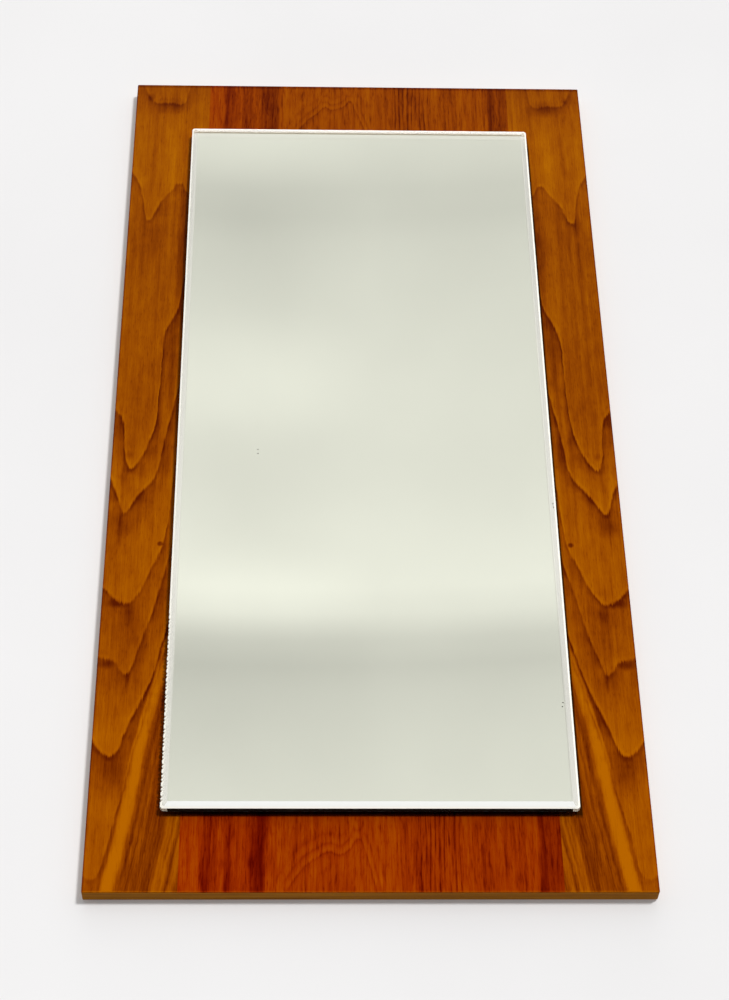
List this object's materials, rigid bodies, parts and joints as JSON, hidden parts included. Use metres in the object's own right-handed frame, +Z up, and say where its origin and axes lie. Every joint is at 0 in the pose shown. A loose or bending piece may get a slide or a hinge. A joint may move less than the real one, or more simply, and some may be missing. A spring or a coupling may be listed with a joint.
{
  "type": "wall mirror",
  "caption": "Rectangular wall mirror: a bevelled glass held clear of a flat board in book-matched teak veneer, with keyhole plates let into the back for hanging.",
  "frame": {"origin": "centre of the board's back face, on the wall", "axes": "+Z up along the mirror's height as it hangs, +X to the viewer's right, +Y into the wall; the mirror faces -Y"},
  "size_m": [0.4, 0.0224, 0.8],
  "materials": {
    "golden_teak": "golden brown teak veneer with arched figure, satin oil",
    "red_teak": "red brown teak veneer with straight dark streaks, satin oil",
    "teak_lipping": "solid teak strip, straight grain, satin oil",
    "chipboard": "raw pressed wood chips",
    "backing_veneer": "plain peeled veneer, thinly sealed",
    "mirror_glass": "clear polished plate glass with a ground and polished bevel",
    "silvering": "bright silver coat on the back of the glass",
    "backing_paint": "grey protective paint",
    "foam_tape": "dark closed-cell foam tape",
    "hardboard": "smooth brown hardboard",
    "zinc_plated_steel": "pressed steel, zinc plated",
    "screw_steel": "plated steel wood screw"
  },
  "bodies": {
    "root": {"core_board": "chipboard", "bottom_lipping": "teak_lipping", "right_lipping": "teak_lipping", "top_lipping": "teak_lipping", "left_lipping": "teak_lipping", "face_veneer_left": "golden_teak", "face_veneer_centre": "red_teak", "face_veneer_right": "golden_teak", "back_veneer": "backing_veneer", "hanger_plate_left": "zinc_plated_steel", "hanger_plate_right": "zinc_plated_steel", "hanger_plate_screws": "screw_steel", "backing_board": "hardboard", "backing_board_screws": "screw_steel", "mirror_tape_left": "foam_tape", "mirror_tape_centre": "foam_tape", "mirror_tape_right": "foam_tape", "mirror_backing_paint": "backing_paint", "mirror_silvering": "silvering", "mirror_glass": "mirror_glass"}
  },
  "joints": []
}
